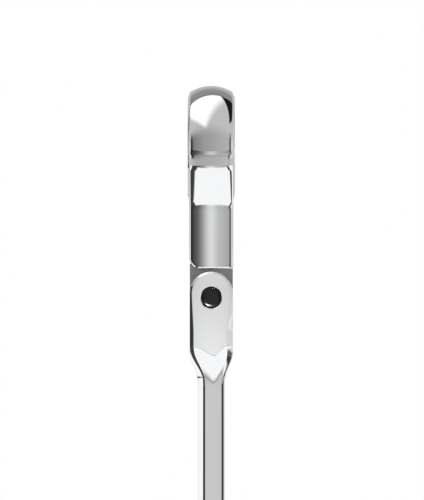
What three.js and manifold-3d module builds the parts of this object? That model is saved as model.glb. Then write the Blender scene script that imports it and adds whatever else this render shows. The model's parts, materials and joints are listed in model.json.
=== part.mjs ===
// A 13 mm combination wrench with a ratcheting ring on a flex joint.
// Millimetres. Z runs up the wrench to the ring, Y along the flex pin, X through the thickness.
// The origin is under the middle of the wrench, at the height of the open end's lowest point.
import * as THREE from "three";
import { mergeVertices } from "three/addons/utils/BufferGeometryUtils.js";
import Module from "manifold-3d";

const wasm = await Module();
wasm.setup();

// Whole wrench
const TOTAL_LENGTH = 178;
const TIP_ABOVE_PIVOT = 45.3;
const PIVOT_Z = TOTAL_LENGTH - TIP_ABOVE_PIVOT;

// Ring, pawl housing, neck and tongue. Their heights count from the ring's centre.
const RING_RADIUS = 13.1;
const RING_Z = TOTAL_LENGTH - RING_RADIUS;
const PIVOT_BELOW_RING = TIP_ABOVE_PIVOT - RING_RADIUS;
const HEAD_THICKNESS = 9.4;
const CROWN_RADIUS = 8.6;
const FACE_THICKNESS = 10;
const FACE_RADIUS = 10.9;
const BUMP_TOP = [12, -4.6];
const BUMP_BULGE = [12.7, -6.6];
const BUMP_FOOT = [11, -8.4];
const NECK_HALF_WIDTH = 6.3;
const NECK_WAIST_Z = -18;
const NECK_BEVEL = 1;
const SHOULDER_ABOVE_PIVOT = 6.5;
const TONGUE_WIDTH = 5.6;
const TONGUE_RADIUS = 4.6;

// Ratchet
const SOCKET_ACROSS_FLATS = 13.1;
const TOOTH_COUNT = 72;
const TOOTH_TIP = 9.65;
const TOOTH_ROOT = 9.15;
const TOOTH_BAND = 5.4;
const JOURNAL_RADIUS = 8.75;
const JOURNAL_CHAMFER = 0.4;
const LIP_BORE = 8.85;
const CHAMBER_RADIUS = 9.8;
const CHAMBER_HALF = 2.9;
const PAWL_SIZE = { thickness: 4.6, width: 8, bottom: -13.2, spaceOverTeeth: 0.15 };
const POCKET_BOTTOM = -16;
const POCKET_CLEARANCE = 0.15;
const SPRING_SEAT_DEPTH = 1.2;

// Cover washer and retaining ring, let into the ring's +X face
const COVER = { inner: 8.95, outer: 10.1, low: 3.05, high: 3.75 };
const COVER_SEAT = 3;
const MOUTH_RADIUS = 10.2;
const GROOVE = { radius: 10.7, low: 3.85, high: 4.65 };
const RETAINER = { inner: 9.1, outer: 10.55, low: 3.93, high: 4.57, gap: 3.2 };

// Fork and shank. Their heights count from the pivot.
const FORK_THICKNESS = 9.4;
const FORK_WIDTH = 13;
const FORK_BEVEL = 0.9;
const FORK_BOTTOM = -11.5;
const EAR_TOP = 5.6;
const SLOT_WIDTH = 5.9;
const SLOT_BOTTOM = -5.3;
const SHANK_THICKNESS = 5.7;
const SHANK_WIDTH = 9.4;
const SHANK_BEVEL = 1.4;
const TAPER_BOTTOM = -17.6;
const TAPER_STEPS = 8;

// Open end, about the middle of its round back
const JAW_RADIUS = 14;
const JAW_THICKNESS = 6.2;
const JAW_BEVEL = 0.7;
const JAW_GAP = 13.1;
const JAW_TILT = THREE.MathUtils.degToRad(15);
const NUT_DROP = 1.5;
const THROAT_RADIUS = 7.9;
const TIP_DROP = 8.6;
const TIP_ROUND = 2;
const FLARE_START = 10.5;
const FLARE_END = 25;
const FLARE_WIDTH = 14.6;
const FLARE_STEPS = 5;

// Flex joint
const PIN = { radius: 2.25, length: 12.7, chamferWidth: 0.6, chamferDepth: 0.35 };
const PIN_HOLE = 2.33;
const PLUNGER = { radius: 1.4, bottom: -9, top: -4.85, dome: 0.5 };
const PLUNGER_BORE = 1.5;
const BORE_BOTTOM = -14.5;

// Springs
const WIRE_RADIUS = 0.17;
const SPRING_RADIUS = 1.05;
const SPRING_SPACE = 0.1;
const PAWL_SPRING_TURNS = 4;
const FLEX_SPRING_TURNS = 8;

const QUARTER_TURN = Math.PI / 2;
const HALF_TURN = Math.PI;
const FULL_TURN = 2 * Math.PI;
const ROUND_SIDES = 72;
const PAST = 1;

// Booleans on closed geometry

function solidOf(geometry) {
  const bare = geometry.clone();
  bare.deleteAttribute("normal");
  bare.deleteAttribute("uv");
  const merged = mergeVertices(bare, 1e-4);
  const mesh = new wasm.Mesh({
    numProp: 3,
    vertProperties: merged.attributes.position.array,
    triVerts: new Uint32Array(merged.index.array),
  });
  return new wasm.Manifold(mesh);
}

function geometryOf(solid) {
  const mesh = solid.getMesh();
  const geometry = new THREE.BufferGeometry();
  geometry.setAttribute("position", new THREE.BufferAttribute(mesh.vertProperties, 3));
  geometry.setIndex(new THREE.BufferAttribute(mesh.triVerts, 1));
  return geometry;
}

function join(first, ...others) {
  return geometryOf(others.reduce((whole, other) => whole.add(solidOf(other)), solidOf(first)));
}

function cut(first, ...others) {
  return geometryOf(others.reduce((rest, other) => rest.subtract(solidOf(other)), solidOf(first)));
}

// Plain forms

function block(low, high) {
  const size = high.map((value, i) => value - low[i]);
  const middle = high.map((value, i) => (value + low[i]) / 2);
  return new THREE.BoxGeometry(...size).translate(...middle);
}

// Turns a form that stands on Y so that it stands on X, or on Z.
const alongX = (geometry) => geometry.rotateZ(-QUARTER_TURN);
const alongZ = (geometry) => geometry.rotateX(QUARTER_TURN);

// A round bar on the Y axis between two places.
function bar(radius, from, to, sides = ROUND_SIDES) {
  const geometry = new THREE.CylinderGeometry(radius, radius, to - from, sides);
  return geometry.translate(0, (from + to) / 2, 0);
}

// A profile of [radius, place] corners turned about the Y axis, from its low end to its high end.
function turned(profile, sides = ROUND_SIDES) {
  return new THREE.LatheGeometry(
    profile.map(([radius, place]) => new THREE.Vector2(radius, place)),
    sides,
  );
}

function washer({ inner, outer, low, high }) {
  return turned([[inner, low], [outer, low], [outer, high], [inner, high], [inner, low]]);
}

// An outline drawn in (y, z) and extruded along X about the middle, with its edges chamfered.
function plate(shape, thickness, bevel = 0) {
  const geometry = new THREE.ExtrudeGeometry(shape, {
    depth: thickness - 2 * bevel,
    bevelEnabled: bevel > 0,
    bevelThickness: bevel,
    bevelSize: bevel,
    bevelOffset: -bevel,
    bevelSegments: 1,
    curveSegments: 16,
  });
  geometry.translate(0, 0, bevel - thickness / 2);
  return geometry.rotateX(QUARTER_TURN).rotateZ(QUARTER_TURN);
}

// The same with the outline drawn in (x, z) and extruded along Y.
function slab(shape, width, bevel = 0) {
  return plate(shape, width, bevel).rotateZ(-QUARTER_TURN);
}

// A skin over octagonal sections, each given by its height, half thickness, half width and bevel.
function lofted(sections) {
  const corners = ({ z, halfX, halfY, bevel }) => [
    [halfX, bevel - halfY, z],
    [halfX, halfY - bevel, z],
    [halfX - bevel, halfY, z],
    [bevel - halfX, halfY, z],
    [-halfX, halfY - bevel, z],
    [-halfX, bevel - halfY, z],
    [bevel - halfX, -halfY, z],
    [halfX - bevel, -halfY, z],
  ];
  const sides = 8;
  const faces = [];
  for (let level = 0; level + 1 < sections.length; level++) {
    for (let side = 0; side < sides; side++) {
      const low = level * sides + side;
      const lowNext = level * sides + ((side + 1) % sides);
      faces.push(low, lowNext, lowNext + sides);
      faces.push(low, lowNext + sides, low + sides);
    }
  }
  const top = (sections.length - 1) * sides;
  for (let side = 1; side + 1 < sides; side++) {
    faces.push(0, side + 1, side);
    faces.push(top, top + side, top + side + 1);
  }
  const geometry = new THREE.BufferGeometry();
  const positions = sections.flatMap(corners).flat();
  geometry.setAttribute("position", new THREE.Float32BufferAttribute(positions, 3));
  geometry.setIndex(faces);
  return geometry;
}

class Coil extends THREE.Curve {
  constructor(turns, low, high) {
    super();
    this.turns = turns;
    this.low = low;
    this.high = high;
  }
  getPoint(t, target = new THREE.Vector3()) {
    const angle = FULL_TURN * this.turns * t;
    const height = THREE.MathUtils.lerp(this.low, this.high, t);
    return target.set(SPRING_RADIUS * Math.cos(angle), SPRING_RADIUS * Math.sin(angle), height);
  }
}

function coilSpring(turns, low, high) {
  const stepsPerTurn = 14;
  return new THREE.ExtrudeGeometry(new THREE.Shape().absarc(0, 0, WIRE_RADIUS, 0, FULL_TURN), {
    steps: turns * stepsPerTurn,
    curveSegments: 3,
    extrudePath: new Coil(turns, low + WIRE_RADIUS, high - WIRE_RADIUS),
  });
}

// Pieces about the ring's centre

// The gear's toothed outline, grown outwards for the space that the pawl keeps to it.
function toothOutline(grown = 0) {
  const pitch = FULL_TURN / TOOTH_COUNT;
  const tipHalf = 0.12;
  const rootHalf = 0.36;
  const points = [];
  for (let tooth = 0; tooth < TOOTH_COUNT; tooth++) {
    const corners = [
      [TOOTH_ROOT, -rootHalf],
      [TOOTH_TIP, -tipHalf],
      [TOOTH_TIP, tipHalf],
      [TOOTH_ROOT, rootHalf],
    ];
    for (const [radius, offset] of corners) {
      const angle = (tooth + 0.5 + offset) * pitch;
      const length = radius + grown;
      points.push(new THREE.Vector2(length * Math.cos(angle), length * Math.sin(angle)));
    }
  }
  return new THREE.Shape(points);
}

// Two hexagons laid over each other: twelve outer corners, with an inner corner between each two.
function socketOutline() {
  const halfFlats = SOCKET_ACROSS_FLATS / 2;
  const outer = halfFlats / Math.cos(HALF_TURN / 6);
  const inner = halfFlats / Math.cos(HALF_TURN / 12);
  const points = [];
  for (let corner = 0; corner < 24; corner++) {
    const angle = (corner * HALF_TURN) / 12;
    const radius = corner % 2 === 0 ? outer : inner;
    points.push(new THREE.Vector2(radius * Math.cos(angle), radius * Math.sin(angle)));
  }
  return new THREE.Shape(points);
}

function ratchetGear() {
  const half = FACE_THICKNESS / 2;
  const barrel = turned([
    [0, -half],
    [JOURNAL_RADIUS - JOURNAL_CHAMFER, -half],
    [JOURNAL_RADIUS, JOURNAL_CHAMFER - half],
    [JOURNAL_RADIUS, half - JOURNAL_CHAMFER],
    [JOURNAL_RADIUS - JOURNAL_CHAMFER, half],
    [0, half],
  ]);
  const toothed = join(plate(toothOutline(), TOOTH_BAND), alongX(barrel));
  return cut(toothed, plate(socketOutline(), FACE_THICKNESS + PAST));
}

// The ring's outer wall is crowned, and its two faces stand a little proud round the gear.
function crownedRing() {
  const edge = HEAD_THICKNESS / 2;
  const face = FACE_THICKNESS / 2;
  const steps = 8;
  const crown = [];
  for (let step = 0; step <= steps; step++) {
    const place = THREE.MathUtils.lerp(-edge, edge, step / steps);
    crown.push([RING_RADIUS - CROWN_RADIUS + Math.sqrt(CROWN_RADIUS ** 2 - place ** 2), place]);
  }
  return alongX(turned([[0, -face], [FACE_RADIUS, -face], ...crown, [FACE_RADIUS, face], [0, face]]));
}

// One side of the neck, from inside the ring past the pawl housing's bump to the shoulder.
function neckOutline() {
  const side = new THREE.Path();
  side.moveTo(RING_RADIUS - 1.8, -1.5);
  side.lineTo(...BUMP_TOP);
  side.quadraticCurveTo(...BUMP_BULGE, ...BUMP_FOOT);
  side.bezierCurveTo(9, -10.6, NECK_HALF_WIDTH, -13, NECK_HALF_WIDTH, NECK_WAIST_Z);
  side.lineTo(NECK_HALF_WIDTH, SHOULDER_ABOVE_PIVOT - PIVOT_BELOW_RING);
  const right = side.getPoints(8);
  const left = right.map(({ x, y }) => new THREE.Vector2(-x, y)).reverse();
  return new THREE.Shape([...right, ...left]);
}

function tongueOutline() {
  const top = SHOULDER_ABOVE_PIVOT + PAST - PIVOT_BELOW_RING;
  const shape = new THREE.Shape();
  shape.moveTo(TONGUE_RADIUS, top);
  shape.lineTo(-TONGUE_RADIUS, top);
  shape.absarc(0, -PIVOT_BELOW_RING, TONGUE_RADIUS, HALF_TURN, FULL_TURN);
  return shape;
}

function headHousing() {
  const face = FACE_THICKNESS / 2;
  const forging = join(
    crownedRing(),
    plate(neckOutline(), HEAD_THICKNESS, NECK_BEVEL),
    slab(tongueOutline(), TONGUE_WIDTH),
  );
  const pocketX = PAWL_SIZE.thickness / 2 + POCKET_CLEARANCE;
  const pocketY = PAWL_SIZE.width / 2 + POCKET_CLEARANCE;
  return cut(
    forging,
    alongX(bar(LIP_BORE, -face - PAST, 0)),
    alongX(bar(CHAMBER_RADIUS, -CHAMBER_HALF, COVER_SEAT + CHAMBER_HALF / 2)),
    alongX(bar(MOUTH_RADIUS, COVER_SEAT, face + PAST)),
    alongX(bar(GROOVE.radius, GROOVE.low, GROOVE.high)),
    block([-pocketX, -pocketY, POCKET_BOTTOM], [pocketX, pocketY, 0]),
    bar(PIN_HOLE, -TONGUE_WIDTH, TONGUE_WIDTH).translate(0, 0, -PIVOT_BELOW_RING),
  );
}

function pawl() {
  const { thickness, width, bottom, spaceOverTeeth } = PAWL_SIZE;
  const cornerTop = -Math.sqrt(TOOTH_ROOT ** 2 - (width / 2) ** 2);
  const blank = block([-thickness / 2, -width / 2, bottom], [thickness / 2, width / 2, cornerTop]);
  const seat = alongZ(bar(SPRING_RADIUS + 2 * WIRE_RADIUS, bottom - PAST, bottom + SPRING_SEAT_DEPTH, 24));
  return cut(blank, plate(toothOutline(spaceOverTeeth), thickness + PAST), seat);
}

function pawlSpring() {
  const high = PAWL_SIZE.bottom + SPRING_SEAT_DEPTH - SPRING_SPACE;
  return coilSpring(PAWL_SPRING_TURNS, POCKET_BOTTOM + SPRING_SPACE, high);
}

function retainingRing() {
  const opening = block([0, -RETAINER.gap / 2, 0], [FACE_THICKNESS, RETAINER.gap / 2, RING_RADIUS]);
  return cut(alongX(washer(RETAINER)), opening);
}

// Pieces about the flex pin's axis

function forkOutline() {
  const half = FORK_THICKNESS / 2;
  const shape = new THREE.Shape();
  shape.moveTo(-half, FORK_BOTTOM);
  shape.lineTo(half, FORK_BOTTOM);
  shape.absarc(0, EAR_TOP - half, half, 0, HALF_TURN);
  return shape;
}

// The shank flares down into the open end and grows up a smooth taper into the fork.
function shank(openEndZ) {
  const sections = [];
  for (let step = 0; step <= FLARE_STEPS; step++) {
    const along = step / FLARE_STEPS;
    sections.push({
      z: openEndZ + THREE.MathUtils.lerp(FLARE_START, FLARE_END, along),
      halfX: SHANK_THICKNESS / 2,
      halfY: THREE.MathUtils.lerp(SHANK_WIDTH, FLARE_WIDTH, (1 - along) ** 2) / 2,
      bevel: SHANK_BEVEL,
    });
  }
  const taperTop = FORK_BOTTOM + FORK_BEVEL + 0.1;
  for (let step = 0; step <= TAPER_STEPS; step++) {
    const along = step / TAPER_STEPS;
    const grown = THREE.MathUtils.smoothstep(along, 0, 1);
    sections.push({
      z: THREE.MathUtils.lerp(TAPER_BOTTOM, taperTop, along),
      halfX: THREE.MathUtils.lerp(SHANK_THICKNESS, FORK_THICKNESS, grown) / 2,
      halfY: THREE.MathUtils.lerp(SHANK_WIDTH, FORK_WIDTH, grown) / 2,
      bevel: THREE.MathUtils.lerp(SHANK_BEVEL, FORK_BEVEL, grown),
    });
  }
  return lofted(sections);
}

// The open end with its jaws pointing straight down, before it is tilted.
function openEndOutline() {
  const halfGap = JAW_GAP / 2;
  const roundStart = Math.asin((TIP_DROP - TIP_ROUND) / JAW_RADIUS);
  const cornerY = JAW_RADIUS * Math.cos(roundStart);
  const cornerZ = -JAW_RADIUS * Math.sin(roundStart);
  const throat = Math.acos(halfGap / THROAT_RADIUS);
  const shape = new THREE.Shape();
  shape.moveTo(halfGap, -TIP_DROP);
  shape.lineTo(cornerY - TIP_ROUND, -TIP_DROP);
  shape.quadraticCurveTo(cornerY, -TIP_DROP, cornerY, cornerZ);
  shape.absarc(0, 0, JAW_RADIUS, -roundStart, HALF_TURN + roundStart);
  shape.quadraticCurveTo(-cornerY, -TIP_DROP, TIP_ROUND - cornerY, -TIP_DROP);
  shape.lineTo(-halfGap, -TIP_DROP);
  shape.absarc(0, -NUT_DROP, THROAT_RADIUS, HALF_TURN - throat, throat, true);
  return shape;
}

function handle() {
  const openEnd = plate(openEndOutline(), JAW_THICKNESS, JAW_BEVEL).rotateX(JAW_TILT);
  openEnd.computeBoundingBox();
  const openEndZ = -PIVOT_Z - openEnd.boundingBox.min.z;
  const forging = join(
    slab(forkOutline(), FORK_WIDTH, FORK_BEVEL),
    shank(openEndZ),
    openEnd.translate(0, 0, openEndZ),
  );
  return cut(
    forging,
    block([-FORK_THICKNESS, -SLOT_WIDTH / 2, SLOT_BOTTOM], [FORK_THICKNESS, SLOT_WIDTH / 2, 2 * EAR_TOP]),
    bar(PIN_HOLE, -FORK_WIDTH, FORK_WIDTH),
    alongZ(bar(PLUNGER_BORE, BORE_BOTTOM, SLOT_BOTTOM + PAST, 32)),
  );
}

function flexPin() {
  const half = PIN.length / 2;
  return turned(
    [
      [0, -half],
      [PIN.radius - PIN.chamferWidth, -half],
      [PIN.radius, PIN.chamferDepth - half],
      [PIN.radius, half - PIN.chamferDepth],
      [PIN.radius - PIN.chamferWidth, half],
      [0, half],
    ],
    48,
  );
}

function flexPlunger() {
  const { radius, bottom, top, dome } = PLUNGER;
  const edge = new THREE.Vector2(radius, top - dome);
  const domeLine = new THREE.QuadraticBezierCurve(edge, new THREE.Vector2(radius / 2, top), new THREE.Vector2(0, top));
  const profile = [[0, bottom], [radius, bottom], ...domeLine.getPoints(5).map(({ x, y }) => [x, y])];
  return alongZ(turned(profile, 32));
}

function flexSpring() {
  return coilSpring(FLEX_SPRING_TURNS, BORE_BOTTOM + SPRING_SPACE, PLUNGER.bottom - SPRING_SPACE);
}

// Materials

function metal(color, roughness) {
  return new THREE.MeshStandardMaterial({ color, roughness, metalness: 1, flatShading: true });
}

const chrome = metal(0xd8dadc, 0.08);
const blackOxide = metal(0x17171a, 0.4);
const toolSteel = metal(0x8d9196, 0.35);
const springSteel = metal(0x6f7276, 0.3);

// Assembly

function piece(name, geometry, material) {
  const mesh = new THREE.Mesh(geometry, material);
  mesh.name = name;
  return mesh;
}

const head = new THREE.Group();
head.position.z = RING_Z;
head.add(
  piece("head_housing", headHousing(), chrome),
  piece("ratchet_gear", ratchetGear(), toolSteel),
  piece("pawl", pawl(), toolSteel),
  piece("pawl_spring", pawlSpring(), springSteel),
  piece("cover_washer", alongX(washer(COVER)), toolSteel),
  piece("retaining_ring", retainingRing(), springSteel),
);

const joint = new THREE.Group();
joint.position.z = PIVOT_Z;
joint.add(
  piece("handle", handle(), chrome),
  piece("flex_pin", flexPin(), blackOxide),
  piece("flex_plunger", flexPlunger(), toolSteel),
  piece("flex_spring", flexSpring(), springSteel),
);

const wrench = new THREE.Group();
wrench.add(head, joint);

export default wrench;
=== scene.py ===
"""A flex-head ratcheting wrench in polished chrome, upright on its open end, seen along its flex pin.

Shapes are worked out in millimetres about the flex pin or the ring's centre, and scaled when a mesh is made.
x is the wrench's thickness, y its width and z its length; the photograph's camera stands at -y.
"""

import json
import math

import bmesh
import bpy
from mathutils import Matrix, Vector


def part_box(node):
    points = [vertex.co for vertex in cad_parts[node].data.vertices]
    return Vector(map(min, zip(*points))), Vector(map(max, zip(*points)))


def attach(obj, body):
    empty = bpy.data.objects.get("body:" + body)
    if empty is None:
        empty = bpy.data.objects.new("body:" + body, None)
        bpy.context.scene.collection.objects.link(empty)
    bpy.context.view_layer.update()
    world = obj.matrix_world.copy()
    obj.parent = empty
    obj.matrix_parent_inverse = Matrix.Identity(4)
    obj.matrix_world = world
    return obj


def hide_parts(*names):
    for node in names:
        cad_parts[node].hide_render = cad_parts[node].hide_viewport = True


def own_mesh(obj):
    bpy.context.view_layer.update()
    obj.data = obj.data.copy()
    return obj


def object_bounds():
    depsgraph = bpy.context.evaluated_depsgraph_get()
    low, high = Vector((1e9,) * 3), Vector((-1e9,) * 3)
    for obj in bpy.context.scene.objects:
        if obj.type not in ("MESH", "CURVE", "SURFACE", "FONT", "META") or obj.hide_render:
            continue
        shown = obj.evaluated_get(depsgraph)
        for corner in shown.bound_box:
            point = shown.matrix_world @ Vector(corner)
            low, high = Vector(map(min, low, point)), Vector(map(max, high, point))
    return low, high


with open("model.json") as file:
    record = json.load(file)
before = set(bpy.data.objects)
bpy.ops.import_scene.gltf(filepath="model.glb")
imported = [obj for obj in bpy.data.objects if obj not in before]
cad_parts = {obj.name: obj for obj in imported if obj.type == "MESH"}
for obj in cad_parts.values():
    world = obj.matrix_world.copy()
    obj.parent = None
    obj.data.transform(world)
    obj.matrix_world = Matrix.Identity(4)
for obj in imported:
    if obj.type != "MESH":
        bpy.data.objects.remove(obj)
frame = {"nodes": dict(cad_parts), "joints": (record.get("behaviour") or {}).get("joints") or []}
CAD_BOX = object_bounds()

MM = 0.001
JOINTS = {joint["name"]: joint for joint in frame["joints"]}
PIVOT = Vector(JOINTS["head_flex"]["pos_m"])
RING = Vector(JOINTS["gear_turn"]["pos_m"])
PIVOT_BELOW_RING = (RING.z - PIVOT.z) / MM

# The two forgings keep an edge where faces meet at more than this many degrees
FORGING_SHARP = 24

# Head housing, in mm. The crowns are the radii of its outer wall's curve across the thickness.
HALF_THICK = 4.7
RING_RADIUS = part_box("head_housing")[1].z / MM - RING.z / MM
RING_CROWN = 8.6
FACET_CROWN = 7.4
EDGE_ROUND = 0.7
FACE_PROUD = 0.3
FACE_RADIUS = 10.7
NECK_HALF = 6.4
SHOULDER = 6.15 - PIVOT_BELOW_RING
TONGUE_HALF = 2.8
TONGUE_RADIUS = 4.6
PIN_HOLE = 2.33

# The outline under the ring, about the ring's centre: degrees where the ring ends, and heights in mm
RING_END = -9.2
FACET_END = -4.45
NECK_TOP = -13.9

# Ratchet parts, in mm
SOCKET_APOTHEM = 6.55
SOCKET_TIP = 7.45
JOURNAL = 8.75
TOOTH_TIP = 9.65
TOOTH_ROOT = 9.15
TEETH = 72
GEAR_HALF = 5.0
BAND_HALF = 2.7
COIL_RADIUS = 1.05
WIRE_RADIUS = 0.17

# Handle, in mm: heights are about the flex pin, but the open end's is above the floor
EAR_CENTRE = 0.9
EAR_HALF = 6.5
FORK_HALF_THICK = 4.6
SHANK_HALF_THICK = 2.85
SHANK_HALF = 4.7
SLOT_HALF = 2.95
SLOT_FLOOR = -5.3
V_POINT = -12.5
SHANK_TOP = -20.0
OPEN_END_Z = 11.09
OPEN_END_RADIUS = 14.0
OPEN_END_HALF_THICK = 3.1
JAW_GAP = 13.1
JAW_TILT = 15


# --- Shape helpers ---------------------------------------------------------------------------------------


def smooth(value, low, high):
    """0 below low, 1 above high, and an S curve between; low may be the larger one."""
    t = min(1.0, max(0.0, (value - low) / (high - low)))
    return t * t * (3 - 2 * t)


def mixed(a, b, t):
    return a + (b - a) * t


def spread(start, end, steps):
    """steps + 1 values from start to end."""
    return [start + (end - start) * i / steps for i in range(steps + 1)]


def arc(centre, radius, start, end, steps):
    """Points on an arc between two angles in degrees."""
    angles = [math.radians(a) for a in spread(start, end, steps)]
    return [(centre[0] + radius * math.cos(a), centre[1] + radius * math.sin(a)) for a in angles]


def rounded(points, radii, steps):
    """An open line through the points with its inner corners rounded, steps + 1 points to a corner."""
    made = [points[0]]
    for before, corner, after, radius in zip(points, points[1:], points[2:], radii):
        corner = Vector(corner)
        back = Vector(before) - corner
        ahead = Vector(after) - corner
        turn = math.pi - back.angle(ahead, math.pi)
        reach = min(radius * math.tan(turn / 2), 0.45 * back.length, 0.45 * ahead.length)
        start = corner + back.normalized() * reach
        end = corner + ahead.normalized() * reach
        for t in spread(0, 1, steps):
            made.append(tuple(start * (1 - t) ** 2 + corner * 2 * t * (1 - t) + end * t * t))
    return made + [points[-1]]


def quads(rows, columns, close_rows=False, close_columns=False):
    """Faces of a grid of rows x columns vertices."""
    faces = []
    for i in range(rows if close_rows else rows - 1):
        for j in range(columns if close_columns else columns - 1):
            a, b = i % rows, (i + 1) % rows
            c, d = j % columns, (j + 1) % columns
            faces.append((a * columns + c, a * columns + d, b * columns + d, b * columns + c))
    return faces


def piece(name, vertices, faces, origin, sharp=28):
    """A mesh object from vertices in mm about origin, with its doubles merged and its normals facing out."""
    mesh = bpy.data.meshes.new(name)
    mesh.from_pydata([Vector(v) * MM + origin for v in vertices], [], faces)
    tidy = bmesh.new()
    tidy.from_mesh(mesh)
    bmesh.ops.remove_doubles(tidy, verts=tidy.verts, dist=0.001 * MM)
    bmesh.ops.dissolve_degenerate(tidy, edges=tidy.edges, dist=0.0005 * MM)
    bmesh.ops.recalc_face_normals(tidy, faces=tidy.faces)
    tidy.to_mesh(mesh)
    tidy.free()
    made = bpy.data.objects.new(name, mesh)
    bpy.context.scene.collection.objects.link(made)
    shade(made, sharp)
    return made


def shade(made, sharp=28):
    """Smooth shading, with an edge where two faces meet at more than sharp degrees."""
    made.data.shade_smooth()
    made.data.set_sharp_from_angle(angle=math.radians(sharp))


def revolved(name, profile, axis, origin, steps, sharp=28):
    """A closed (radius, along) profile turned about the x, y or z axis."""
    vertices = []
    for k in range(steps):
        a = 2 * math.pi * k / steps
        for radius, along in profile:
            u, v = radius * math.cos(a), radius * math.sin(a)
            vertices.append({"x": (along, u, v), "y": (u, along, v), "z": (u, v, along)}[axis])
    return piece(name, vertices, quads(steps, len(profile), True, True), origin, sharp)


def block(name, low, high, origin):
    """A box from its two corners, used as a cutting tool."""
    corners = [(x, y, z) for x in (low[0], high[0]) for y in (low[1], high[1]) for z in (low[2], high[2])]
    faces = [(0, 1, 3, 2), (4, 6, 7, 5), (0, 4, 5, 1), (2, 3, 7, 6), (0, 2, 6, 4), (1, 5, 7, 3)]
    return piece(name, corners, faces, origin)


def eased(made, width, segments, limit):
    """A bevel modifier on the edges that turn by more than limit degrees."""
    ease = made.modifiers.new("eased", "BEVEL")
    ease.width = width * MM
    ease.segments = segments
    ease.limit_method = "ANGLE"
    ease.angle_limit = math.radians(limit)


def settle(made):
    """Works the modifiers into the mesh."""
    graph = bpy.context.evaluated_depsgraph_get()
    mesh = bpy.data.meshes.new_from_object(made.evaluated_get(graph))
    made.modifiers.clear()
    made.data = mesh


def combine(made, operation, *tools):
    """A forging with the tools cut away or joined on; the tools are used up."""
    for tool in tools:
        step = made.modifiers.new("cut", "BOOLEAN")
        step.operation = operation
        step.solver = "EXACT"
        step.material_mode = "TRANSFER"
        step.object = tool
        settle(made)
        bpy.data.objects.remove(tool)
    shade(made, FORGING_SHARP)
    return made


def finished(made, body, material, node):
    """The piece rides on its body, stands for its CAD node and gets its material, if it has none yet."""
    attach(made, body)
    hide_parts(node)
    if not made.data.materials:
        made.data.materials.append(material)
    return made


# --- Shader node helpers ---------------------------------------------------------------------------------


def connect(tree, value, socket):
    """Gives a socket a number, or links another node's output to it."""
    if isinstance(value, (int, float)):
        socket.default_value = value
    else:
        tree.links.new(value, socket)


def node_math(tree, operation, *inputs):
    """A Math node whose inputs are numbers or sockets; returns its output."""
    node = tree.nodes.new("ShaderNodeMath")
    node.operation = operation
    for socket, value in zip(node.inputs, inputs):
        connect(tree, value, socket)
    return node.outputs[0]


def node_times(tree, a, b):
    return node_math(tree, "MULTIPLY", a, b)


def node_sum(tree, a, by_a, b, by_b):
    """a times by_a plus b times by_b."""
    return node_math(tree, "ADD", node_times(tree, a, by_a), node_times(tree, b, by_b))


def node_xyz(tree, vector):
    parts = tree.nodes.new("ShaderNodeSeparateXYZ")
    tree.links.new(vector, parts.inputs["Vector"])
    return parts.outputs


def node_range(tree, value, low, high, to_low=0.0, to_high=1.0, curve="LINEAR"):
    """The value's way from low to high, carried over to to_low and to_high."""
    node = tree.nodes.new("ShaderNodeMapRange")
    node.interpolation_type = curve
    for name, limit in (("From Min", low), ("From Max", high), ("To Min", to_low), ("To Max", to_high)):
        node.inputs[name].default_value = limit
    tree.links.new(value, node.inputs["Value"])
    return node.outputs["Result"]


def node_step(tree, value, low, high):
    """An S curve from 0 at low to 1 at high."""
    return node_range(tree, value, low, high, curve="SMOOTHSTEP")


def node_band(tree, value, low, high, soft):
    """1 between low and high, falling to 0 over soft at each end."""
    up = node_step(tree, value, low - soft / 2, low + soft / 2)
    down = node_step(tree, value, high + soft / 2, high - soft / 2)
    return node_times(tree, up, down)


def node_mix(tree, a, b, factor):
    node = tree.nodes.new("ShaderNodeMix")
    for name, value in (("A", a), ("B", b), ("Factor", factor)):
        connect(tree, value, node.inputs[name])
    return node.outputs["Result"]


def node_ramp(tree, value, stops, low=-90, high=90):
    """Brightness by angle or height: stops are (place between low and high, brightness)."""
    node = tree.nodes.new("ShaderNodeValToRGB")
    share = node_math(tree, "DIVIDE", node_math(tree, "SUBTRACT", value, low), high - low)
    tree.links.new(share, node.inputs["Fac"])
    ramp = node.color_ramp
    while len(ramp.elements) < len(stops):
        ramp.elements.new(0.5)
    for element, (place, level) in zip(ramp.elements, stops):
        element.position = (place - low) / (high - low)
        element.color = (level, level, level, 1)
    return node.outputs["Color"]


def node_noise(tree, vector, scale, detail):
    node = tree.nodes.new("ShaderNodeTexNoise")
    node.inputs["Scale"].default_value = scale
    node.inputs["Detail"].default_value = detail
    tree.links.new(vector, node.inputs["Vector"])
    return node.outputs["Fac"]


# --- Materials -------------------------------------------------------------------------------------------


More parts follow.
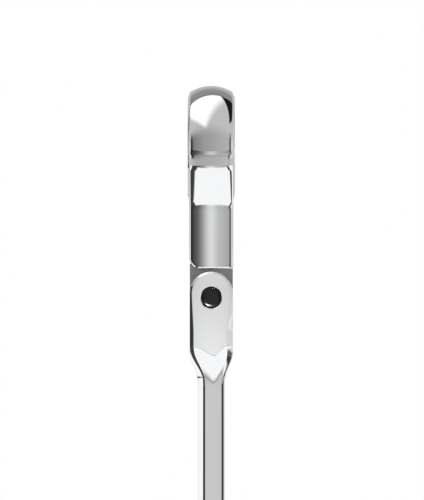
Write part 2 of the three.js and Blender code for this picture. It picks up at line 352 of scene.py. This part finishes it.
def metal(
    name, colour, rough, rough_range, grain_scale, bump, stretch=(1, 1, 1), metallic=1.0, specular=0.5
):
    """A surface whose roughness and relief vary by noise; stretch makes the grain run one way."""
    made = bpy.data.materials.new(name)
    made.use_nodes = True
    tree = made.node_tree
    shader = tree.nodes["Principled BSDF"]
    shader.inputs["Metallic"].default_value = metallic
    shader.inputs["Specular IOR Level"].default_value = specular
    place = tree.nodes.new("ShaderNodeTexCoord").outputs["Object"]
    grain_place = tree.nodes.new("ShaderNodeMapping")
    grain_place.inputs["Scale"].default_value = stretch
    tree.links.new(place, grain_place.inputs["Vector"])
    grain = node_noise(tree, grain_place.outputs["Vector"], grain_scale, 6)
    cloud = node_noise(tree, place, 160, 3)
    roughness = node_range(tree, node_times(tree, grain, cloud), 0.12, 0.42, rough, rough + rough_range)
    tree.links.new(roughness, shader.inputs["Roughness"])
    tint = tree.nodes.new("ShaderNodeMix")
    tint.data_type = "RGBA"
    tint.inputs["A"].default_value = (*colour, 1)
    tint.inputs["B"].default_value = (*[c * 0.94 for c in colour], 1)
    tree.links.new(cloud, tint.inputs["Factor"])
    tree.links.new(tint.outputs["Result"], shader.inputs["Base Color"])
    relief = tree.nodes.new("ShaderNodeBump")
    relief.inputs["Strength"].default_value = bump
    relief.inputs["Distance"].default_value = 0.01 * MM
    tree.links.new(grain, relief.inputs["Height"])
    tree.links.new(relief.outputs["Normal"], shader.inputs["Normal"])
    return made


CHROME = metal("polished_chrome", (0.95, 0.955, 0.965), 0.015, 0.03, 900, 0.02)
SATIN = metal("satin_nickel", (0.66, 0.66, 0.67), 0.2, 0.15, 700, 0.3)
MILLED = metal("milled_steel", (0.34, 0.34, 0.35), 0.3, 0.3, 420, 0.9, (0.3, 1, 2))
TOOL_STEEL = metal("oiled_tool_steel", (0.36, 0.37, 0.39), 0.25, 0.15, 600, 0.4, (1, 1, 4))
SPRING_STEEL = metal("blued_spring_steel", (0.23, 0.235, 0.25), 0.22, 0.12, 900, 0.2)
BLACK_OXIDE = metal("black_oxide", (0.008, 0.008, 0.009), 0.2, 0.12, 800, 0.2, metallic=0.0, specular=0.22)


# --- Head housing ----------------------------------------------------------------------------------------


def below_ring():
    """The outline under the ring as (y, z) pairs: the crease, the facet below it, the bump and the flank."""
    facet_tilt, bump_tilt, flank_tilt = 14, -22, 42.5
    crease_round, bump_round, flank_round = 1.0, 3.4, 3.4
    end, turn = math.radians(RING_END), math.radians(bump_tilt)
    far = RING_RADIUS + crease_round
    centre = (far * math.cos(end), far * math.sin(end))
    crease = arc(centre, crease_round, 180 + RING_END, 180 + facet_tilt, 6)
    start_y, start_z = crease[-1]
    out = math.tan(math.radians(facet_tilt))
    facet = [(start_y + (start_z - z) * out, z) for z in spread(start_z, FACET_END, 6)]
    centre = (facet[-1][0] - bump_round * math.cos(turn), FACET_END - bump_round * math.sin(turn))
    bump = arc(centre, bump_round, bump_tilt, -flank_tilt, 12)
    flank = arc((NECK_HALF + flank_round, NECK_TOP), flank_round, 180 - flank_tilt, 180, 14)
    return crease, facet, bump, flank


def neck_stations():
    """Half of the neck and shoulder below the flank, as head_stations gives them."""
    corner = 0.5
    stations = [((NECK_HALF, z), (-1, 0), RING_CROWN) for z in spread(NECK_TOP, SHOULDER + corner, 24)[1:]]
    shoulder = arc((NECK_HALF - corner, SHOULDER + corner), corner, 0, -90, 5)[1:]
    shoulder += [(y, SHOULDER) for y in spread(NECK_HALF - corner, 0, 10)[1:]]
    return stations + [((y, z), (-y / NECK_HALF, 0), RING_CROWN) for y, z in shoulder]


def head_stations():
    """Half of the head's outline about the ring's centre, from the ring's top to the shoulder's middle. Each
    station is ((y, z), the crown's inward direction, the crown)."""
    stations = []
    for y, z in arc((0, 0), RING_RADIUS, 90, RING_END, 66):
        stations.append(((y, z), (-y / RING_RADIUS, -z / RING_RADIUS), RING_CROWN))
    crease, facet, bump, flank = below_ring()
    for y, z in crease[1:] + facet[1:] + bump[1:] + flank:
        lean = math.radians(RING_END) * (1 - smooth(z, crease[-1][1], FACET_END - 2))
        on_facet = smooth(z, -1.7, -3.2) * smooth(z, -8, -5)
        crown = mixed(RING_CROWN, FACET_CROWN, on_facet)
        stations.append(((y, z), (-math.cos(lean), -math.sin(lean)), crown))
    return stations + neck_stations()


def crown_profile(crown):
    """The wall across the thickness as (x, depth) pairs from the +x face's edge to the -x face's edge."""
    inner = HALF_THICK - EDGE_ROUND
    first = math.asin(inner / (crown - EDGE_ROUND))
    depth = crown - (crown - EDGE_ROUND) * math.cos(first)
    edge = [
        (inner + EDGE_ROUND * math.sin(a), depth - EDGE_ROUND * math.cos(a))
        for a in spread(math.pi / 2, first, 7)
    ]
    wall = [(crown * math.sin(a), crown * (1 - math.cos(a))) for a in spread(first, -first, 26)]
    return edge + wall[1:-1] + [(-x, d) for x, d in reversed(edge)]


def face_height(radius):
    """Half the thickness at a distance from the ring's centre: the ring's faces stand a little proud."""
    return HALF_THICK + FACE_PROUD * (1 - smooth(radius, FACE_RADIUS, FACE_RADIUS + 0.6))


def corner_lift(x, z):
    """How far the shoulder's corners are rounded upwards: much on the -x side, hardly on the +x side."""
    big, small = 2.4, 0.35
    radius = big if x < 0 else small
    reach = min(abs(x) - (HALF_THICK - radius), 0.98 * radius)
    if reach <= 0:
        return 0.0
    share = smooth(z, SHOULDER + 4.5, SHOULDER)
    return share * (radius - math.sqrt(radius**2 - reach**2))


def chamber_profile():
    """The ratchet's chamber from back to front, as (radius, x) pairs."""
    bore, gear_room, washer_room, groove = 8.85, 9.8, 10.2, 10.7
    gear_back, gear_front, groove_back, groove_front = -2.9, 3.0, 3.85, 4.65
    face, rim = HALF_THICK + FACE_PROUD, 0.15
    return [
        (bore + rim, -face), (bore, rim - face), (bore, gear_back),
        (gear_room, gear_back), (gear_room, gear_front),
        (washer_room, gear_front), (washer_room, groove_back),
        (groove, groove_back), (groove, groove_front),
        (washer_room, groove_front), (washer_room, face - rim), (washer_room + rim, face),
    ]


def across_face(start, end, side):
    """Points across one flat face of the head, between the chamber's rim and the outer wall."""
    points = []
    for t in spread(0, 1, 14)[1:-1]:
        y, z = mixed(start[1], end[1], t), mixed(start[2], end[2], t)
        points.append((side * face_height(math.hypot(y, z)), y, z))
    return points


def head_section(station):
    """A station's closed section: the chamber's wall, the front face, the outer wall and the back face."""
    (y, z), (in_y, in_z), crown = station
    angle = math.atan2(z, y)
    bore = [(x, r * math.cos(angle), r * math.sin(angle)) for r, x in chamber_profile()]
    wall = [(x, y + in_y * depth, z + in_z * depth) for x, depth in crown_profile(crown)]
    section = bore + across_face(bore[-1], wall[0], 1) + wall + across_face(wall[-1], bore[0], -1)
    return [(x, y, z + corner_lift(x, z)) for x, y, z in section]


def head_housing():
    """The ring, the crowned neck and the flat tongue in one, with the ratchet's chamber open inside it."""
    half = head_stations()
    other = [((-y, z), (-in_y, in_z), crown) for (y, z), (in_y, in_z), crown in reversed(half[1:-1])]
    sections = [head_section(station) for station in half + other]
    vertices = [point for section in sections for point in section]
    faces = quads(len(sections), len(sections[0]), True, True)
    housing = piece("head_housing_shell", vertices, faces, RING, FORGING_SHARP)
    housing.data.materials.append(CHROME)
    housing = combine(housing, "UNION", tongue())
    pocket = block("pocket", (-2.45, -4.15, -16.0), (2.45, 4.15, -8.9), RING)
    housing = combine(housing, "DIFFERENCE", pocket, pin_hole(TONGUE_HALF, 0.2))
    return finished(housing, "head", CHROME, "head_housing")


def tongue():
    """The flat eye that turns in the fork, from inside the neck down around the pin."""
    top = PIVOT_BELOW_RING + SHOULDER + 1.0
    side = [(TONGUE_RADIUS, z) for z in (top, 3.5)]
    outline = side + arc((0, 0), TONGUE_RADIUS, 0, -180, 40) + [(-x, z) for x, z in reversed(side)]
    bevel = 0.3
    vertices = []
    for x, z in outline:
        inset = Vector((x, z)) - Vector((x, min(z, 0))).normalized() * bevel
        vertices += [(inset.x, -TONGUE_HALF, inset.y), (x, -TONGUE_HALF + bevel, z)]
        vertices += [(x, TONGUE_HALF - bevel, z), (inset.x, TONGUE_HALF, inset.y)]
    count = len(outline)
    faces = quads(count, 4, close_rows=True)
    faces += [tuple(range(0, 4 * count, 4)), tuple(range(3, 4 * count, 4))]
    made = piece("tongue", vertices, faces, PIVOT)
    made.data.materials.append(MILLED)
    return made


def pin_hole(half_width, chamfer):
    """A cutting tool for the flex pin's hole through a part of that half width, with its rims eased."""
    wide, clear = PIN_HOLE + chamfer + 1, half_width + 1
    profile = [(0.0, -clear), (wide, -clear), (PIN_HOLE, chamfer - half_width)]
    profile += [(r, -y) for r, y in reversed(profile)]
    return revolved("pin_hole", profile, "y", PIVOT, 64)


# --- Ratchet parts ---------------------------------------------------------------------------------------


def socket_radius(angle):
    """The twelve-point socket's wall: two hexagons, one turned 30 degrees from the other."""
    step = math.pi / 6
    from_tip = abs((angle + step / 2) % step - step / 2)
    return min(SOCKET_APOTHEM / math.cos(step - from_tip), SOCKET_TIP)


def gear_section(wall, tooth):
    """Half of the gear's section as (radius, x) pairs: socket wall, lead-in, journal and teeth."""
    mouth, lead_in = 7.85, 0.55
    return [
        (wall, 0), (wall, GEAR_HALF - lead_in * (mouth - wall)), (mouth, GEAR_HALF),
        (JOURNAL - 0.45, GEAR_HALF), (JOURNAL - 0.12, GEAR_HALF - 0.1), (JOURNAL, GEAR_HALF - 0.4),
        (JOURNAL, BAND_HALF), (tooth - 0.2, BAND_HALF), (tooth, BAND_HALF - 0.2),
    ]


def ratchet_gear():
    """The toothed ring with its twelve-point socket, whose two ends show in the housing's faces."""
    per_tooth = 6
    steps = TEETH * per_tooth
    vertices = []
    for k in range(steps):
        a = 2 * math.pi * k / steps
        tooth = mixed(TOOTH_ROOT, TOOTH_TIP, 1 - abs(2 * (k % per_tooth) / per_tooth - 1))
        half = gear_section(socket_radius(a), tooth)
        chain = half + [(r, -x) for r, x in reversed(half[1:])]
        vertices += [(x, r * math.cos(a), r * math.sin(a)) for r, x in chain]
    made = piece("gear_ring", vertices, quads(steps, len(chain), True, True), RING, 22)
    return finished(made, "gear", SATIN, "ratchet_gear")


def cover_washer():
    """The thin flat washer over the gear's band of teeth."""
    low, high, inner, outer, rim = 3.05, 3.75, 8.95, 10.1, 0.12
    start = (inner, (low + high) / 2)
    corners = [(inner, high), (outer, high), (outer, low), (inner, low)]
    profile = rounded([start, *corners, start], [rim] * 4, 3)[:-1]
    made = revolved("cover_washer_plate", profile, "x", RING, 144)
    return finished(made, "head", TOOL_STEEL, "cover_washer")


def retaining_ring():
    """The snap ring in its groove: a flat C whose ends stand a little apart at the top."""
    low, high, inner, outer = 3.93, 4.57, 9.1, 10.55
    end_gap, end_share, end_angle = 3.2, 0.45, 3.4
    ease, flat = 0.1, 0.85
    middle, half = (inner + outer) / 2, (outer - inner) / 2
    gap = math.degrees(end_gap / outer) / 2
    section = [(-1, low + ease), (-flat, low), (flat, low), (1, low + ease)]
    section += [(1, high - ease), (flat, high), (-flat, high), (-1, high - ease)]
    angles = spread(90 + gap, 450 - gap, 180)
    vertices = []
    for a in angles:
        from_end = min(1.0, min(a - angles[0], angles[-1] - a) / end_angle)
        width = mixed(end_share, 1.0, math.sqrt(1 - (1 - from_end) ** 2))
        for side, x in section:
            r = middle + side * half * width
            vertices.append((x, r * math.cos(math.radians(a)), r * math.sin(math.radians(a))))
    count, around = len(vertices), len(section)
    faces = quads(len(angles), around, close_columns=True)
    faces += [tuple(range(around)), tuple(range(count - around, count))]
    made = piece("snap_ring", vertices, faces, RING)
    return finished(made, "head", SPRING_STEEL, "retaining_ring")


def coil_spring(name, body, node, turns):
    """A round-wire spring standing on z between its CAD node's ends."""
    low, high = (corner.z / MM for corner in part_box(node))
    height = high - low - 2 * WIRE_RADIUS
    steps, around = 28 * turns, 10
    vertices = []
    for i in range(steps + 1):
        t = i / steps
        a = 2 * math.pi * turns * t
        rise = low + WIRE_RADIUS + height * mixed(t, smooth(t, 0, 1), 0.5)
        for k in range(around):
            b = 2 * math.pi * k / around
            r = COIL_RADIUS + WIRE_RADIUS * math.cos(b)
            vertices.append((r * math.cos(a), r * math.sin(a), rise + WIRE_RADIUS * math.sin(b)))
    faces = quads(steps + 1, around, close_columns=True)
    faces += [tuple(range(around)), tuple(range(steps * around, (steps + 1) * around))]
    made = piece(name, vertices, faces, Vector((0, 0, 0)), 60)
    finished(made, body, SPRING_STEEL, node)
    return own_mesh(made)


def cad_node(node, material, bevel):
    """A CAD node that keeps its shape, with its edges eased and its material."""
    made = frame["nodes"][node]
    made.data.materials.clear()
    made.data.materials.append(material)
    eased(made, bevel, 2, 40)


# --- Handle ----------------------------------------------------------------------------------------------


def handle_half_thickness(z):
    return mixed(FORK_HALF_THICK, SHANK_HALF_THICK, smooth(z, -11.6, -18.2))


def handle_half_width(z):
    """Half the width at a height: fork, fall below the fork's faces, shank and flare to the jaws."""
    fork_draft, flare_width, flare_length = 0.1, 2.6, 17
    if z >= V_POINT:
        return EAR_HALF - fork_draft * smooth(z, 0, V_POINT) * (z / V_POINT)
    fall = max(0.0, (z - SHANK_TOP) / (V_POINT - SHANK_TOP))
    flare_low = OPEN_END_Z + 10.5 - PIVOT.z / MM
    flare = smooth(z, flare_low + flare_length, flare_low)
    return SHANK_HALF + (EAR_HALF - fork_draft - SHANK_HALF) * fall**1.5 + flare_width * flare


def bevels(z):
    """The broad and narrow bevel at a height, each as the (width, depth) of its inner and outer facets."""
    grown = smooth(z, 3.0, -9)
    shank = smooth(z, V_POINT, SHANK_TOP + 2)
    broad = mixed(mixed(0.4, 0.8, grown), 0.42, shank)
    narrow = mixed(mixed(0.3, 1.15, grown), 0.5, shank)
    steep, edge = mixed(0.03, 1.1, shank), mixed(0.03, 0.2, shank)
    broad_facets = (broad, 0.55 * broad), (steep, 1.15 * steep)
    narrow_facets = (narrow, mixed(0.68, 0.52, shank) * narrow), (edge, 1.2 * edge)
    return broad_facets, narrow_facets


def bevel_corners(facets, half_thick, half):
    """A bevel's corners as (out, y) pairs, from the flat face out to the side."""
    (inner_width, inner_depth), (outer_width, outer_depth) = facets
    return [
        (half_thick - inner_width - outer_width, half),
        (half_thick - outer_width, half - inner_depth),
        (half_thick, half - inner_depth - outer_depth),
    ]


def handle_chain(z, half_thick, side):
    """The section from the near face's middle round one side to the far face's middle, as (out, y) pairs."""
    half = handle_half_width(z)
    broad, narrow = bevels(z)
    near, far = (broad, narrow) if side < 0 else (narrow, broad)
    near_corners = [(x, -y) for x, y in bevel_corners(near, half_thick, half)]
    far_corners = reversed(bevel_corners(far, half_thick, half))
    corners = [(0, -half), *near_corners, (half_thick, 0), *far_corners, (0, half)]
    line = rounded(corners, [0.12, 0.12, 0.3, 0.1, 0.3, 0.12, 0.12], 4)
    flat = 7
    face = [(mixed(0, line[1][0], t), -half) for t in spread(0, 1, flat)[:-1]]
    back = [(mixed(line[-2][0], 0, t), half) for t in spread(0, 1, flat)[1:]]
    return face + line[1:-1] + back


def v_lift(x):
    """How far the line under the fork's flat face rises towards the sides, more steeply on the +x side."""
    lowest, slope_left, slope_right, most, blunt = 0.85, 0.54, 1.3, 2.3, 0.5
    slope = slope_left if x < lowest else slope_right
    rise = slope * (math.hypot(x - lowest, blunt) - blunt)
    return most * math.sin(min(1.0, rise / most / 1.25) * math.pi / 2)


def handle_rays():
    """Each ray's (foot, direction, side): up the -x side, over the ear's round top and down the +x side."""
    bottom, plain = OPEN_END_Z + 8 - PIVOT.z / MM, -24
    heights = spread(bottom, plain, 60)[:-1]
    heights += spread(plain, V_POINT, 46)[:-1]
    heights += spread(V_POINT, EAR_CENTRE, 36)[:-1]
    rays = [(z, (-1, 0), -1) for z in heights]
    for x, z in arc((0, 0), 1, 180, 0, 48):
        rays.append((EAR_CENTRE, (x, z), -1 if x < 0 else 1))
    return rays + [(z, (1, 0), 1) for z in reversed(heights)]


def handle_body():
    """Fork and shank in one: a section to each ray, lifted near the V-shaped line under the flat faces."""
    lift_above, lift_below = 9, 8
    vertices = []
    rays = handle_rays()
    for foot, (dx, dz), side in rays:
        near_v = smooth(foot, V_POINT + lift_above, V_POINT) * smooth(foot, V_POINT - lift_below, V_POINT)
        half_thick = handle_half_thickness(foot)
        for out, y in handle_chain(foot, half_thick, side):
            across = math.copysign(out / half_thick * FORK_HALF_THICK, side * -y)
            lift = near_v * v_lift(across) if dz == 0 else 0.0
            scale = handle_half_thickness(foot + lift) / half_thick
            vertices.append((dx * out * scale, y, foot + dz * out + lift))
    columns = len(vertices) // len(rays)
    last = len(vertices) - columns
    faces = quads(len(rays), columns)
    faces.append(tuple(range(columns)) + tuple(reversed(range(last, last + columns))))
    return piece("handle_forging", vertices, faces, PIVOT, FORGING_SHARP)


def jaw_outline():
    """The open end seen from its flat side, upright: a round head, two jaw tips and a round throat."""
    gap, tips, throat_radius, tip_round = JAW_GAP / 2, -8.5, 7.9, 2.0
    nut = (0, -1.5)
    outer = arc((0, 0), OPEN_END_RADIUS, -38, 218, 72)
    throat = arc(nut, throat_radius, 180 - 34, 34, 24)
    jaws = []
    for side, start in ((-1, outer[-1]), (1, outer[0])):
        line = [start, (side * OPEN_END_RADIUS * 0.72, tips), (side * gap, tips), (side * gap, nut[1])]
        jaws.append(rounded(line, [3.0, tip_round], 8)[1:-1])
    return outer + jaws[0] + [(-gap, nut[1])] + throat + [(gap, nut[1])] + list(reversed(jaws[1]))


def open_end():
    """The jaws, with their gap tilted from the handle's line."""
    centre = Vector((0, OPEN_END_Z))
    turn = Matrix.Rotation(math.radians(JAW_TILT), 2)
    placed = [turn @ Vector(p) + centre for p in jaw_outline()]
    vertices = [(x, p.x, p.y) for x in (-OPEN_END_HALF_THICK, OPEN_END_HALF_THICK) for p in placed]
    count = len(placed)
    faces = [(i, (i + 1) % count, count + (i + 1) % count, count + i) for i in range(count)]
    faces += [tuple(range(count)), tuple(range(count, 2 * count))]
    made = piece("jaws", vertices, faces, Vector((0, 0, 0)))
    eased(made, 0.6, 8, 50)
    settle(made)
    return made


def handle():
    """Fork, shank and open end in one, slotted and bored for the head, pin and plunger."""
    made = handle_body()
    made.data.materials.append(CHROME)
    slot = block("slot", (-9, -SLOT_HALF, SLOT_FLOOR), (9, SLOT_HALF, 12), PIVOT)
    bore_radius, bore_floor, bore_top = 1.5, -14.5, SLOT_FLOOR + 1
    profile = [(0, bore_floor), (bore_radius, bore_floor), (bore_radius, bore_top), (0, bore_top)]
    bore = revolved("bore", profile, "z", PIVOT, 32)
    made = combine(made, "UNION", open_end())
    made = combine(made, "DIFFERENCE", slot, pin_hole(EAR_HALF, 0.12), bore)
    return finished(made, "grip", CHROME, "handle")


def flex_pin():
    """The black cross pin, with a broad eased rim round each flat end."""
    half, radius, flat = 6.35, 2.25, 1.55
    rim = rounded([(0, -half), (flat, -half), (radius, -half + 0.4), (radius, 0)], [0.35, 0.3], 5)
    profile = rim + [(r, -y) for r, y in reversed(rim[:-1])]
    made = revolved("pin_rod", profile, "y", PIVOT, 96, 60)
    return finished(made, "grip", BLACK_OXIDE, "flex_pin")


# --- Studio ----------------------------------------------------------------------------------------------

DEGREES = 180 / math.pi

# Brightness by the angle to the side: of the world in front of the ring, and of the cards before the neck
# and handle
RING_STOPS = [
    (-90, 1.0), (-67, 1.0), (-65, 0.03), (-56, 0.05), (-51, 0.22), (-20, 0.34), (0, 0.37),
    (30, 0.43), (48, 0.46), (52, 0.4), (54, 0.06), (57, 0.06), (60, 0.7), (90, 0.85),
]
CARD_STOPS = [
    (-90, 1.0), (-69, 1.0), (-66, 0.02), (-57, 0.02), (-51, 0.06), (-36, 0.14),
    (-24, 0.34), (-10, 0.66), (-2, 0.76), (4, 0.74), (18, 0.56), (46, 0.42),
    (51, 0.4), (53, 0.05), (57, 0.05), (59, 0.74), (66, 0.58), (90, 0.8),
]
# Brightness behind the wrench, by node_pitch without its sign
BACK_STOPS = [(0, 0.24), (112, 0.24), (135, 0.29), (150, 0.5), (180, 0.62)]


def node_side(tree, x):
    """How many degrees a direction points to the side."""
    return node_times(tree, node_math(tree, "ARCSINE", x), DEGREES)


def node_pitch(tree, y, z):
    """How many degrees a direction is turned up from -y: 90 is straight up, 180 is +y, below 0 is down."""
    return node_times(tree, node_math(tree, "ARCTAN2", z, node_times(tree, y, -1.0)), DEGREES)


def node_ceiling(tree, x, y, z, heading):
    """How far along a heading in degrees a direction meets a level ceiling one unit up."""
    turn = math.radians(heading)
    return node_math(tree, "DIVIDE", node_sum(tree, x, math.cos(turn), y, math.sin(turn)), z)


def front_wall(tree, x, y, z):
    """Brightness by the angle to the side, evened out to grey upwards."""
    level = node_ramp(tree, node_side(tree, x), RING_STOPS)
    return node_mix(tree, level, 0.55, node_step(tree, node_pitch(tree, y, z), 16, 48))


def ceiling(tree, level, x, y, z):
    """A softbox with two straight edges, and a dark flag across its corner."""
    right_edge = node_step(tree, node_ceiling(tree, x, y, z, 152.4), -0.45, 0.05)
    front_edge = node_step(tree, node_ceiling(tree, x, y, z, 31.5), -1.35, -0.85)
    softbox = node_times(tree, right_edge, front_edge)
    level = node_mix(tree, level, 1.25, node_times(tree, softbox, node_step(tree, z, 0.3, 0.4)))
    flag_edge = node_step(tree, node_ceiling(tree, x, y, z, 41.8), 0.48, 0.54)
    return node_mix(tree, level, 0.01, node_times(tree, flag_edge, node_step(tree, z, 0.55, 0.62)))


def back_wall(tree, level, x, y, z):
    """Grey behind the wrench, with a dark band on the left and white at both sides."""
    side = node_side(tree, x)
    back = node_ramp(tree, node_math(tree, "ABSOLUTE", node_pitch(tree, y, z)), BACK_STOPS, 0, 180)
    back = node_mix(tree, back, 0.06, node_band(tree, side, -58, -46, 6))
    ends = node_math(tree, "MAXIMUM", node_step(tree, side, -60, -68), node_step(tree, side, 60, 68))
    back = node_mix(tree, back, 0.95, ends)
    behind = node_step(tree, node_sum(tree, y, 1.0, x, -0.1), 0.37, 0.385)
    return node_mix(tree, level, back, behind)


def under_horizon(tree, level, x, y, z):
    """White, with a dark flag on each side. A flag ends where mirrors that lean sideways by the same angle
    reflect a look along +y, and its ends are given as twice that lean, in degrees."""
    across = node_math(tree, "SQRT", node_times(tree, node_math(tree, "SUBTRACT", 1.0, y), 2.0))
    lean = node_math(tree, "ARCSINE", node_math(tree, "DIVIDE", x, across))
    turned = node_times(tree, lean, 2 * DEGREES)
    left, right = node_band(tree, turned, -64, -43, 5), node_band(tree, turned, 50, 58, 3)
    below = node_mix(tree, 1.0, 0.05, node_math(tree, "MAXIMUM", left, right))
    return node_mix(tree, level, below, node_step(tree, z, -0.36, -0.44))


def side_walls(tree, level, x, y, z):
    """Dimmer far out to both sides, a little under the horizon."""
    sideways = node_step(tree, node_math(tree, "ABSOLUTE", x), 0.9, 0.97)
    sideways = node_times(tree, sideways, node_step(tree, y, 0.12, 0.06))
    low = node_times(tree, sideways, node_band(tree, z, -0.55, -0.05, 0.08))
    return node_mix(tree, level, 0.5, low)


def studio():
    """The world: white to the camera and to matt surfaces; what shines reflects softboxes and dark flags."""
    world = bpy.data.worlds.new("studio")
    bpy.context.scene.world = world
    world.use_nodes = True
    tree = world.node_tree
    direction = node_xyz(tree, tree.nodes.new("ShaderNodeTexCoord").outputs["Generated"])
    level = front_wall(tree, *direction)
    for part in (ceiling, back_wall, under_horizon, side_walls):
        level = part(tree, level, *direction)
    path = tree.nodes.new("ShaderNodeLightPath")
    plain = node_math(tree, "MAXIMUM", path.outputs["Is Camera Ray"], path.outputs["Is Diffuse Ray"])
    tree.links.new(node_mix(tree, level, 1.0, plain), tree.nodes["Background"].inputs["Color"])


def card_glow(name, distance, low, top, heights):
    """A card's light: brightness by the angle to the side and by height, clear along its two level edges."""
    soft = 3
    material = bpy.data.materials.new(name)
    material.use_nodes = True
    tree = material.node_tree
    tree.nodes.remove(tree.nodes["Principled BSDF"])
    x, _, z = node_xyz(tree, tree.nodes.new("ShaderNodeNewGeometry").outputs["Position"])
    side = node_times(tree, node_math(tree, "ARCTAN2", x, distance * MM), DEGREES)
    height = node_math(tree, "DIVIDE", z, MM)
    level = node_times(tree, node_ramp(tree, side, CARD_STOPS), node_ramp(tree, height, heights, low, top))
    glow = tree.nodes.new("ShaderNodeEmission")
    tree.links.new(level, glow.inputs["Color"])
    clear = tree.nodes.new("ShaderNodeBsdfTransparent")
    mix = tree.nodes.new("ShaderNodeMixShader")
    tree.links.new(node_band(tree, height, low + soft / 2, top - soft / 2, soft), mix.inputs["Fac"])
    tree.links.new(clear.outputs["BSDF"], mix.inputs[1])
    tree.links.new(glow.outputs["Emission"], mix.inputs[2])
    tree.links.new(mix.outputs["Shader"], tree.nodes["Material Output"].inputs["Surface"])
    return material


def card(name, distance, low, top, heights):
    """A graduated card before the wrench, seen only in what shines; heights are (z in mm, strength)."""
    half_width = 5 * distance
    corners = [(-half_width, -distance, low), (half_width, -distance, low)]
    corners += [(half_width, -distance, top), (-half_width, -distance, top)]
    made = piece(name, corners, [(0, 1, 2, 3)], Vector((0, 0, 0)))
    made.data.materials.append(card_glow(name, distance, low, top, heights))
    made.visible_camera = False
    made.visible_diffuse = False
    made.visible_shadow = False


def floor():
    """A pale round table top, hidden from reflections."""
    radius, corners = 950, 72
    rim = arc((0, 0), radius, 0, 360 - 360 / corners, corners - 1)
    made = piece("floor", [(x, y, 0) for x, y in rim], [tuple(range(corners))], Vector())
    made.location.z = CAD_BOX[0].z
    made.data.materials.append(metal("pale_table", (0.9, 0.9, 0.9), 0.6, 0.2, 40, 0.05, metallic=0.0))
    made.visible_glossy = False


def soft_lamp(name, energy, place, target, width, height):
    """A rectangular lamp at a place, turned to a target."""
    lamp = bpy.data.objects.new(name, bpy.data.lights.new(name, "AREA"))
    lamp.data.energy = energy
    lamp.data.shape = "RECTANGLE"
    lamp.data.size = width
    lamp.data.size_y = height
    lamp.location = place
    lamp.rotation_euler = (target - place).to_track_quat("-Z", "Y").to_euler()
    bpy.context.scene.collection.objects.link(lamp)
    return lamp


def lights(pin):
    """A broad soft key from the upper left, and a small lamp that glints in the pin's rim only."""
    key = soft_lamp("key", 3, Vector((-0.35, -0.25, 0.75)), Vector((0, 0, 0.09)), 0.5, 0.5)
    key.visible_glossy = False
    near_end = Vector((-1.2, -6.2, -1.6)) * MM + PIVOT
    place = near_end + Vector((-0.26, -0.6, -0.75)) * 0.15
    glint = soft_lamp("glint", 1.4, place, near_end, 0.07, 0.016)
    glint.visible_diffuse = False
    glint.visible_camera = False
    lit = bpy.data.collections.new("lit_by_glint")
    lit.objects.link(pin)
    glint.light_linking.receiver_collection = lit


def camera():
    """A long lens level with the neck, as far off as makes the fork and head fill the photograph's frame."""
    lens, sensor, view_height = 200, 36, 107.3
    made = bpy.data.objects.new("camera", bpy.data.cameras.new("camera"))
    made.data.lens = lens
    made.data.sensor_width = sensor
    made.location = Vector((0.15, -view_height * lens / sensor, 10.1)) * MM + PIVOT
    made.rotation_euler = (math.pi / 2, 0, 0)
    bpy.context.scene.collection.objects.link(made)
    bpy.context.scene.camera = made
    bpy.context.scene.view_settings.view_transform = "Standard"


camera()
studio()
card("near_card", 40, 111, 154, [(111, 1.5), (114, 1.4), (118, 1.16), (134, 0.94), (141, 0.98), (154, 1.0)])
card("far_card", 300, 2, 113, [(2, 0.8), (113, 0.82)])
floor()
head_housing()
ratchet_gear()
cover_washer()
retaining_ring()
coil_spring("pawl_coil", "head", "pawl_spring", 4)
coil_spring("plunger_coil", "grip", "flex_spring", 8)
cad_node("pawl", TOOL_STEEL, 0.08)
cad_node("flex_plunger", TOOL_STEEL, 0.05)
handle()
lights(flex_pin())

bpy.context.view_layer.update()
